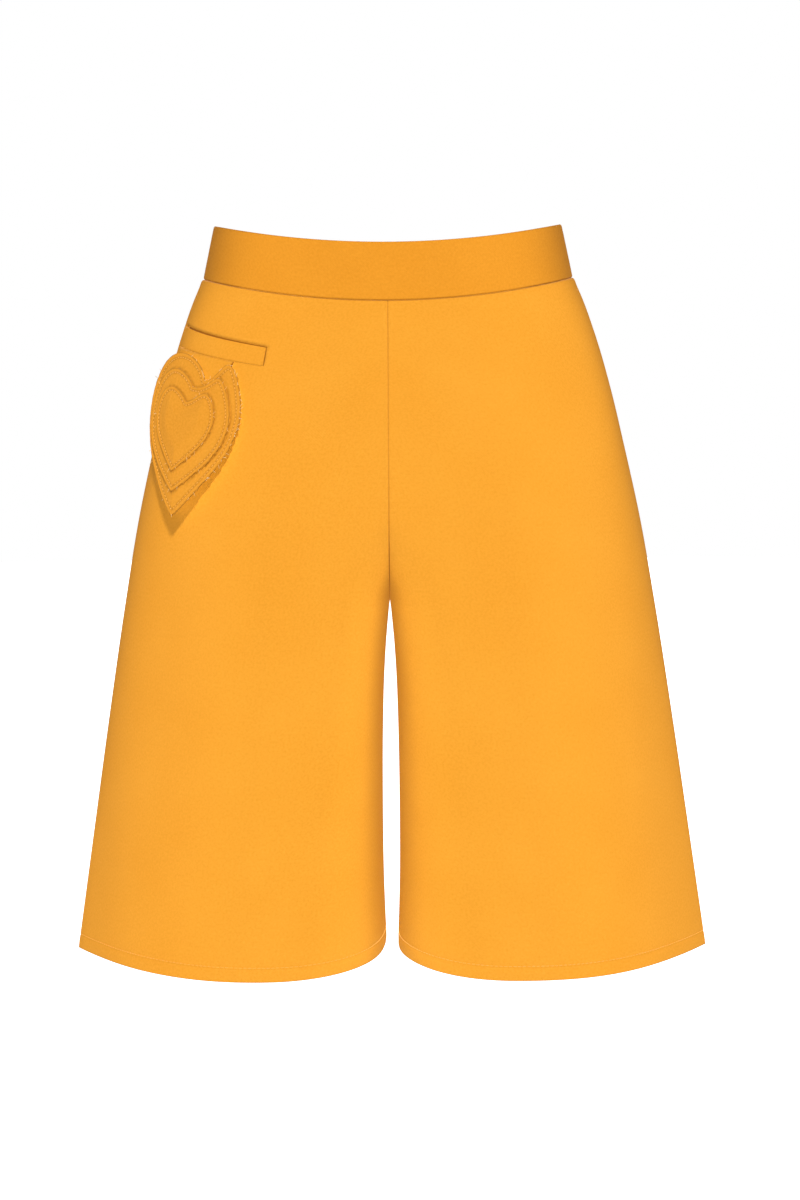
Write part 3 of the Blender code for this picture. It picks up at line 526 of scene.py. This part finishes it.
def bandPiece(name, node, face, sides):
    heights = np.array([0, 0.25, 0.5, 0.9, 1.6, 2.6, 4, 6.5, 9.5, 13, 16.5, 20, 24, 28,
                        31.5, 34, 35.8, 37, 37.8, 38.2, 38.4]) / 38.4
    quarter = np.concatenate([[-1, -0.7, -0.35], np.linspace(0, math.pi / 2, band["columns"])])
    parts = []
    for side in sides:
        block = bandPoints(quarter[None, :], heights[:, None], face, side)
        arc = arcLengths(block)
        fromSide = arc
        fromCentre = arc[:, -1:] - arc
        parts.append((block, fromSide, fromCentre))
    if len(parts) == 2:   # one piece all round the front
        a, b = parts
        points = np.concatenate([a[0], b[0][:, -2::-1]], axis=1)
        ends = np.concatenate([a[1], b[1][:, -2::-1]], axis=1)
        points[:, len(quarter) - 1, 0] = 0
    else:
        points = parts[0][0]
        ends = np.minimum(parts[0][1], parts[0][2])
    normals = gridNormals(points)
    fromFoot = heights[:, None] * band["drop"]
    fromTop = (1 - heights[:, None]) * band["drop"]
    out = -0.5 * hump(fromFoot, 0.5) - 0.7 * hump(fromTop, 0.55) - 0.6 * hump(ends, 1.0)
    out = out + 0.08 * np.sin(ends / 9) * smooth(fromFoot / 8) * smooth(fromTop / 8)
    points = points + normals * (out / 1000)[..., None]
    along = arcLengths(points)
    uv = np.stack([along, np.broadcast_to(fromTop, along.shape)], axis=-1) / 1000
    # painted shade along the band's foot seam and at its ends
    paintedShade = 0.55 * hump(fromFoot, 0.45) + 0.2 * hump(ends, 0.8)
    obj = gridObject(name, points, uv, bandTwill, fromAxis, paintedShade=paintedShade)
    thicken(obj, clothThick["band"])
    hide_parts(node)
    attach(obj, "shorts")
    return obj


bandPiece("waistband_front_piece", "waistband_front", front, (left, right))
bandPiece("waistband_back_left_piece", "waistband_back_left", back, (left,))
bandPiece("waistband_back_right_piece", "waistband_back_right", back, (right,))
print("waistband ready")


# welt, set flush into the window
def makeWelt():
    rows = np.array([0, 0.3, 0.7, 1.2, 2, 3.5, 5.5, 7.5, 9.5, 11.5, 12.6, 13.2, 13.6, 13.85, 14.0])
    arcs = np.concatenate([[0, 0.3, 0.7, 1.2, 2.0], np.linspace(4, 94, 46), [96, 96.8, 97.3, 97.7, 98.0]])
    window, across, level = panels["front_right"][1:]
    topRow, footRow, firstColumn, lastColumn = window
    edge = legPoints(level, across, front, right)
    arcAt = arcLengths(edge)
    starts = np.interp(rows, (-1.1, 14.15), (arcAt[topRow, firstColumn], arcAt[footRow, firstColumn])) + 0.05
    ends = np.interp(rows, (-1.1, 14.15), (arcAt[topRow, lastColumn], arcAt[footRow, lastColumn])) - 0.05
    arc = starts[:, None] + (ends - starts)[:, None] * arcs[None, :] / 98
    # its upper edge closes the mouth a little towards the front
    levels = weltLevel(arc) + rows[:, None] - 0.5 * smooth((arc - 60) / 50) * hump(rows[:, None], 2)
    side = np.minimum(arcs, 98 - arcs)[None, :]
    out = 0.15 - 0.35 * hump(rows[:, None], 0.5) - 0.22 * hump(14 - rows[:, None], 0.6) - 0.16 * hump(side, 0.5)
    out = out + 0.12 * np.sin(arcs / 7.5)[None, :] * smooth(rows[:, None] / 4)
    points = onHip(arc, levels, out)
    uv = np.stack([levels, arc], axis=-1) / 1000
    # painted shade along the welt's lower edge and at its ends
    paintedShade = 0.22 * hump(14 - rows[:, None], 0.5) + 0.12 * hump(side, 0.4)
    obj = gridObject("welt", points, uv, bodyTwill, fromAxis, paintedShade=paintedShade)
    thicken(obj, 0.0014)
    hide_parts("pocket_welt")
    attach(obj, "shorts")


makeWelt()


# pocket bag: the solid's form, in its own thin twill, dark brown as painted shade for the pocket's mouth
bag = {"depth": 118.0, "margin": 5.0, "space": 1.6, "cloth": 1.0}


def makeBag():
    column = np.linspace(0, 1, 50)
    frontLayer = -(1.4 + seamGap * 1.5 + bag["cloth"]) - 0.3
    backLayer = frontLayer - bag["space"] - bag["cloth"]
    middle = (frontLayer + backLayer) / 2
    arc = welt["startArc"] + (welt["endArc"] - welt["startArc"]) * column + bag["margin"] * column
    mouth = weltLevel(arc)
    foot = mouth + bag["depth"] - bag["depth"] * 0.12 * (2 * column - 1) ** 4
    lines = [onHip(arc, mouth - 3 + (foot - mouth + 3) * t, frontLayer) for t in np.linspace(0, 1, 40)]
    for turn in np.linspace(0, math.pi, 8)[1:-1]:
        lines.append(onHip(arc, foot + (frontLayer - middle) * math.sin(turn),
                           middle + (frontLayer - middle) * math.cos(turn)))
    lines += [onHip(arc, mouth - 8 + (foot - mouth + 8) * t, backLayer) for t in np.linspace(1, 0, 40)]
    points = np.array(lines)
    along = np.cumsum(np.concatenate([[0], np.linalg.norm(np.diff(points[:, 25], axis=0), axis=1)]))
    uv = np.stack(np.broadcast_arrays(arc[None, :] / 1000, along[:, None]), axis=-1)
    obj = gridObject("bag", points, uv, pocketing, fromAxis)
    if obj.data.polygons[10].normal.dot(Vector(points[2, 2] * (1, 1, 0))) < 0:
        obj.data.flip_normals()
    thicken(obj, bag["cloth"] / 1000)
    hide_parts("pocket_bag")
    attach(obj, "shorts")


makeBag()


# tab that carries the heart
def makeTab():
    arcs = np.linspace(26, 94, 60)
    rows = np.linspace(0, 1, 26)
    top = weltLevel(arcs) + welt["height"] + 0.6
    levels = top[None, :] + (122 - top)[None, :] * rows[:, None]
    ends = np.minimum(arcs - 26, 94 - arcs)[None, :]
    fall = levels - top[None, :]
    out = 1.15 - 0.5 * hump(fall, 1.1) - 0.25 * hump(ends, 0.9) + 0.2 * np.sin(arcs / 8)[None, :] * smooth(fall / 6)
    out = out + 1.3 * hump(94 - arcs[None, :], 5) * hump(fall - 3, 5)   # its front corner stands up a little
    points = onHip(arcs[None, :], levels, out)
    uv = np.stack(np.broadcast_arrays(arcs[None, :], levels), axis=-1) / 1000
    # painted shade at the tab's raised front corner, just under the welt
    paintedShade = np.broadcast_to(0.9 * hump(94 - arcs[None, :], 0.9) * hump(fall - 2, 3.5), fall.shape)
    obj = gridObject("tab", points, uv, bodyTwill, fromAxis, paintedShade=paintedShade)
    thicken(obj, 0.0009)
    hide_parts("heart_tab")
    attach(obj, "shorts")


makeTab()
print("pocket ready")

# heart: three padded layers with raw edges, each stitched round
heart = {"arc": 57.0, "topLevel": 92.0, "lean": 0.24, "tilt": 0.09, "waves": (13.0, 0.0, -1.8, -0.8),
         "roundness": (2.2, 0.4, 0.5), "centre": 0.42, "hang": 10.5, "spread": 0.0032, "spreadLine": 72.0, "gap": 0.4}
layers = (
    {"node": "heart_base", "width": 90, "height": 114.5, "aside": 2.4, "drop": 0, "notch": 0.11, "dent": 2.7,
     "front": 2.05, "rear": 0.3, "edge": 1.3, "crown": 2.6, "stitchIn": 3.4},
    {"node": "heart_middle", "width": 77, "height": 86.5, "aside": 5.0, "drop": 12, "notch": 0.02, "dent": 2.0,
     "front": 2.3, "rear": 0.8, "edge": 1.0, "crown": 1.9, "stitchIn": 3.0},
    {"node": "heart_top", "width": 57, "height": 60, "aside": 6.7, "drop": 25, "notch": 0, "dent": 3.0,
     "front": 1.9, "rear": 1.0, "edge": 1.0, "crown": 2.6, "stitchIn": 2.8},
)


def heartOutline(angle, layer):
    def height(a):
        waves = sum(w * np.cos((k + 1) * a) for k, w in enumerate(heart["waves"]))
        return waves - layer["dent"] * np.cos(2 * a)

    top, tip = height(np.linspace(0, math.pi / 2, 90)).max(), height(math.pi)
    y = (top - height(angle)) / (top - tip) * layer["height"]
    sine = np.sin(angle)
    mean, more, most = heart["roundness"]
    upper = np.clip(np.cos(angle), 0, None)
    lobe = np.where(sine > 0, layer["front"], layer["rear"])
    wide = np.abs(sine) ** (mean + more * np.cos(angle) + most * upper**2 - lobe * upper)
    x = np.sign(sine) * wide / 2 + np.where(upper > 0, layer["notch"] * (1 - wide), 0)
    return np.stack([x * layer["width"], y], axis=-1)


def heartSpot(spot, layer):
    x, y = spot[..., 0], spot[..., 1]
    return heart["arc"] + layer["aside"] + x + heart["lean"] * y, layer["drop"] + y + heart["tilt"] * x


def heartPlace(spot, layer, out):
    arc, drop = heartSpot(spot, layer)
    stand = 3 * seamGap + 1.2 + heart["hang"] * np.clip(drop / layers[0]["height"], 0, None) ** 1.6
    stand = stand + heart["spread"] * np.clip(heart["spreadLine"] - arc, 0, None) ** 2
    return onHip(arc, heart["topLevel"] + drop, stand + out)


def evenly(line, step):
    lengths = np.concatenate([[0], np.cumsum(np.linalg.norm(np.diff(line, axis=0), axis=1))])
    at = np.linspace(0, lengths[-1], max(int(lengths[-1] / step), 3) + 1)
    return np.stack([np.interp(at, lengths, line[:, k]) for k in range(2)], axis=-1), at


def inset(line, distance):
    along = np.gradient(line, axis=0)
    along /= np.linalg.norm(along, axis=1, keepdims=True)
    inward = np.stack([-along[:, 1], along[:, 0]], axis=1)
    centre = line.mean(axis=0)
    if ((centre - line) * inward).sum() < 0:
        inward = -inward
    moved = line + inward * distance
    far = np.sqrt(((moved[:, None] - line[None]) ** 2).sum(-1)).min(axis=1)
    return moved[far > distance * 0.96]


def toEdge(spots, line):
    a, b = line[:-1], line[1:]
    ab = b - a
    t = np.clip(((spots[:, None] - a) * ab).sum(-1) / (ab**2).sum(-1), 0, 1)
    return np.sqrt((((a + ab * t[..., None]) - spots[:, None]) ** 2).sum(-1)).min(axis=1)


def heartHeight(d, layer):
    rise = smooth((d - layer["stitchIn"]) / 11)
    return (layer["edge"] + (layer["crown"] - layer["edge"]) * rise
            - 0.6 * hump(d - layer["stitchIn"], 0.7) - 0.4 * hump(d, 0.5))


def makeHeartLayer(index):
    layer = layers[index]
    backOut = sum(l["crown"] + heart["gap"] for l in layers[:index])
    count = 320
    angle = np.linspace(-math.pi, math.pi, 4000)
    outline, _ = evenly(heartOutline(angle, layer), 0.05)
    lengths = np.linspace(0, 1, len(outline))
    turnAngle = np.interp(np.linspace(0, 1, count + 1), lengths, np.arange(len(outline)))
    edge = np.stack([np.interp(turnAngle, np.arange(len(outline)), outline[:, k]) for k in range(2)], axis=-1)
    # cut edge is a little ragged, most on its front and lower side
    centre = np.array([0, heart["centre"] * layer["height"]])
    wild = smooth((edge[:, 0] / layer["width"] + 0.15) * 2.2)
    jitter = np.interp(np.arange(count + 1), np.arange(0, count + 1, 2), rng.normal(0, 1, count // 2 + 1))
    jitter[-1] = jitter[0]
    away = (edge - centre) / np.linalg.norm(edge - centre, axis=1, keepdims=True)
    ragged = edge + away * (jitter * (0.10 + 0.28 * wild))[:, None]
    reaches = np.concatenate([1 - np.array([0, 0.004, 0.011, 0.02, 0.032, 0.045, 0.058, 0.072, 0.088, 0.105, 0.125]),
                              np.linspace(0.85, 0.0, 22)])
    spots = centre + (ragged[None] - centre) * reaches[:, None, None]
    d = toEdge(spots.reshape(-1, 2), outline[::12]).reshape(spots.shape[:2])
    d[0] = 0
    quilted = np.sin(spots[..., 0] / 6) * np.sin(spots[..., 1] / 7 + 1) * smooth((d - 4) / 6)
    top = heartHeight(d, layer) + 0.10 * quilted
    upper = heartPlace(spots, layer, backOut + top)
    lower = heartPlace(spots[[0, 3, 10, 20]], layer, backOut)
    points = np.concatenate([upper[::-1], lower])
    flat = np.concatenate([spots[::-1], spots[[0, 3, 10, 20]]]) / 1000
    flat[len(upper):] += (0.0, 0.2)
    # painted shade in the stitch channel and at the cut edge
    paintedShade = 0.42 * hump(d - layer["stitchIn"], 0.65) + 0.35 * hump(d, 0.5)
    if index < 2:   # painted shadow along the edge of the layer that lies on this one
        above = layers[index + 1]
        line = np.stack(heartSpot(heartOutline(angle[::10], above), above), axis=-1)
        under = np.stack(heartSpot(spots, layer), axis=-1)
        paintedShade += 0.5 * hump(toEdge(under.reshape(-1, 2), line).reshape(d.shape), 0.9)
    # the layer's underside gets an even painted shade
    paintedShade = np.concatenate([paintedShade[::-1], np.full((4, count + 1), 0.3)])
    obj = gridObject(layer["node"] + "_layer", points, flat, heartTwill, fromAxis, paintedShade=paintedShade)
    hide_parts(layer["node"])
    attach(obj, "shorts")

    # a row of stitches along the edge
    line, _ = evenly(inset(outline[::8], layer["stitchIn"]), 0.5)
    total = len(line) * 0.5
    stitches = []
    for start in np.arange(0, total - 2.6, 2.7):
        at = np.clip((start + np.linspace(0, 1.9, 5)) / 0.5, 0, len(line) - 1)
        spot = np.stack([np.interp(at, np.arange(len(line)), line[:, k]) for k in range(2)], axis=-1)
        lift = np.array([-0.3, 0.16, 0.28, 0.16, -0.3])
        height = heartHeight(np.full(5, layer["stitchIn"]), layer)
        stitches.append(heartPlace(spot, layer, backOut + height + lift))
    thread = tubes(layer["node"] + "_stitches", stitches, 0.00027, seamThread, sides=5)
    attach(thread, "shorts")

    # loose ends of yarn along the cut edge
    ends = []
    for k in range((110, 40, 30)[index]):
        i = int(rng.uniform(0, count))
        if rng.uniform() > 0.12 + 0.88 * wild[i]:
            continue
        base = ragged[i]
        swing = rng.normal(0, 0.6)
        way = away[i] * math.cos(swing) + np.array([-away[i][1], away[i][0]]) * math.sin(swing)
        long = rng.uniform(0.8, 3.2)
        curl = rng.normal(0, 0.5)
        t = np.linspace(-0.25, 1, 5)[:, None]
        spot = base + way * t * long + np.array([-way[1], way[0]]) * curl * t**2 * long * 0.5
        lift = rng.uniform(0.1, 0.8) + rng.uniform(-0.3, 0.5) * t[:, 0]
        ends.append(heartPlace(spot, layer, backOut + layer["edge"] * 0.5 + lift))
    fray = tubes(layer["node"] + "_fray", ends, (0.00019, 0.00013, 0.00013)[index], rawThread, sides=4)
    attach(fray, "shorts")


for index in range(3):
    makeHeartLayer(index)
print("heart ready")


# hem stitches, one row round each leg
def hemStitches(side):
    paths = []
    for face in (front, back):
        across = np.concatenate([np.linspace(-1, 0, 4)[:-1], np.linspace(0, 1, 300), np.linspace(1, 2, 200)[1:]])
        level = hem["level"] - hem["stitchUp"]
        line = legPoints(level, across, face, side)
        away = gridNormals(legPoints(np.array([[level - 1], [level + 1]]), across[None, :], face, side))[0]
        reached = np.concatenate([[0], np.cumsum(np.linalg.norm(np.diff(line, axis=0), axis=1))]) * 1000
        wander = 0.35 * np.sin(reached / 31 + level / 190 + side)
        wander += 0.25 * np.sin(reached / 17 - level / 83 + 2 * side + face)
        wander = wander * smooth(reached / 12) * smooth((reached[-1] - reached) / 12)
        for start in np.arange(1.5, reached[-1] - hem["pitch"], hem["pitch"]):
            at = start + np.linspace(0, hem["stitch"], 5)
            spot = np.stack([np.interp(at, reached, line[:, k]) for k in range(3)], axis=-1)
            normal = np.stack([np.interp(at, reached, away[:, k]) for k in range(3)], axis=-1)
            lift = np.interp(at, reached, wander) - 0.12 + np.array([-0.25, 0.1, 0.17, 0.1, -0.25])
            paths.append(spot + normal * lift[:, None] / 1000)
    obj = tubes(f"hem_stitches_{'left' if side == left else 'right'}", paths, 0.0002, seamThread, sides=5)
    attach(obj, "shorts")


hemStitches(left)
hemStitches(right)
print("stitching ready")

# zip: woven polyester tape, and lacquered zinc for its slider and pull
def wovenTape():
    material, tree, shader = newMaterial("woven_polyester_tape")
    place = addNode(tree, "ShaderNodeTexCoord").outputs["Object"]
    ribs = addNode(tree, "ShaderNodeTexWave", {"bands_direction": "Z", "Scale": 0.31416 / 0.0009}, {"Vector": place})
    bump = addNode(tree, "ShaderNodeBump", {"Strength": 0.8, "Distance": 0.0001}, {"Height": ribs.outputs["Fac"]})
    tree.links.new(bump.outputs["Normal"], shader.inputs["Normal"])
    shader.inputs["Base Color"].default_value = toLinear("#E8962A")
    shader.inputs["Roughness"].default_value = 0.7
    return material


def lacqueredZinc():
    material, tree, shader = newMaterial("lacquered_zinc_diecast")
    place = addNode(tree, "ShaderNodeTexCoord").outputs["Object"]
    orange = addNode(tree, "ShaderNodeTexNoise", {"Scale": 900.0, "Detail": 1.0}, {"Vector": place})
    bump = addNode(tree, "ShaderNodeBump", {"Strength": 0.3, "Distance": 0.00003}, {"Height": orange.outputs["Fac"]})
    tree.links.new(bump.outputs["Normal"], shader.inputs["Normal"])
    shader.inputs["Base Color"].default_value = toLinear("#E6962C")
    shader.inputs["Roughness"].default_value = 0.32
    shader.inputs["Coat Weight"].default_value = 0.4
    shader.inputs["Coat Roughness"].default_value = 0.15
    return material


tapeMaterial, zincMaterial = wovenTape(), lacqueredZinc()
for node, material in (("zip_tape", tapeMaterial), ("zip_slider", zincMaterial), ("zip_pull", zincMaterial)):
    mesh = frame["nodes"][node].data
    mesh.materials.clear()
    mesh.materials.append(material)
print("zip ready")

# camera, light and floor
view = {"place": (0.0074, -2.2, -0.04), "lens": 89.7, "pitch": -6.104, "roll": -0.33}
camera = bpy.data.objects.new("camera", bpy.data.cameras.new("camera"))
bpy.context.scene.collection.objects.link(camera)
camera.location = view["place"]
aim = Euler((math.radians(90 + view["pitch"]), 0, 0)).to_matrix()
camera.rotation_euler = (aim @ Euler((0, 0, math.radians(view["roll"]))).to_matrix()).to_euler()
camera.data.lens = view["lens"]
camera.data.sensor_width = 36
bpy.context.scene.camera = camera

studio = {"ambient": 0.08, "bounce": 0.05, "top": 2.42, "side": 0.9, "back": 1.5, "softness": 5.0}
world = bpy.data.worlds.new("studio")
bpy.context.scene.world = world
world.use_nodes = True
sky = world.node_tree.nodes["Background"]
sky.inputs["Color"].default_value = (1, 1, 1, 1)
seen = addNode(world.node_tree, "ShaderNodeLightPath")
level = addNode(world.node_tree, "ShaderNodeMapRange", {"To Min": studio["ambient"], "To Max": 1.0},
                {"Value": seen.outputs["Is Camera Ray"]})
world.node_tree.links.new(level.outputs["Result"], sky.inputs["Strength"])


def lamp(name, power, azimuth, elevation, blockers=None):
    light = bpy.data.lights.new(name, "SUN")
    light.energy = power
    light.use_shadow = blockers is not None
    light.angle = math.radians(studio["softness"])
    obj = bpy.data.objects.new(name, light)
    bpy.context.scene.collection.objects.link(obj)
    turn, rise = math.radians(azimuth), math.radians(elevation)
    toLamp = Vector((math.sin(turn) * math.cos(rise), -math.cos(turn) * math.cos(rise), math.sin(rise)))
    obj.location = toLamp * 2
    obj.rotation_euler = toLamp.to_track_quat("Z", "Y").to_euler()
    if blockers:
        obj.light_linking.blocker_collection = blockers


# only the hanging heart blocks the top lamp, and nothing the others, so that light gets in between the legs
hanging = bpy.data.collections.new("hanging")
for obj in bpy.context.scene.objects:
    if obj.name.startswith("heart_") and obj.name.endswith(("_layer", "_fray")):
        hanging.objects.link(obj)
lamp("back_lamp", studio["back"], 180, 30)
lamp("top_lamp", studio["top"], 4, 42, hanging)
for side in (left, right):
    lamp("side_lamp", studio["side"], 80 * side, 4)

floorMesh = bpy.data.meshes.new("floor")
turns = np.linspace(0, 2 * math.pi, 96, endpoint=False)
floorMesh.from_pydata([(8 * math.cos(t), 8 * math.sin(t), -0.985) for t in turns], [], [tuple(range(96))])
floor = bpy.data.objects.new("floor", floorMesh)
bpy.context.scene.collection.objects.link(floor)
paper, tree, shader = newMaterial("white_paper")
shader.inputs["Base Color"].default_value = (0.9, 0.9, 0.9, 1)
shader.inputs["Roughness"].default_value = 0.9
shader.inputs["Emission Color"].default_value = (1, 1, 1, 1)
# seen directly the floor is as white as the ground behind it, and it throws less light on the cloth
seen = addNode(tree, "ShaderNodeLightPath")
level = addNode(tree, "ShaderNodeMapRange", {"To Min": studio["bounce"], "To Max": 1.0},
                {"Value": seen.outputs["Is Camera Ray"]})
tree.links.new(level.outputs["Result"], shader.inputs["Emission Strength"])
floorMesh.materials.append(paper)

bpy.context.scene.view_settings.view_transform = "Standard"
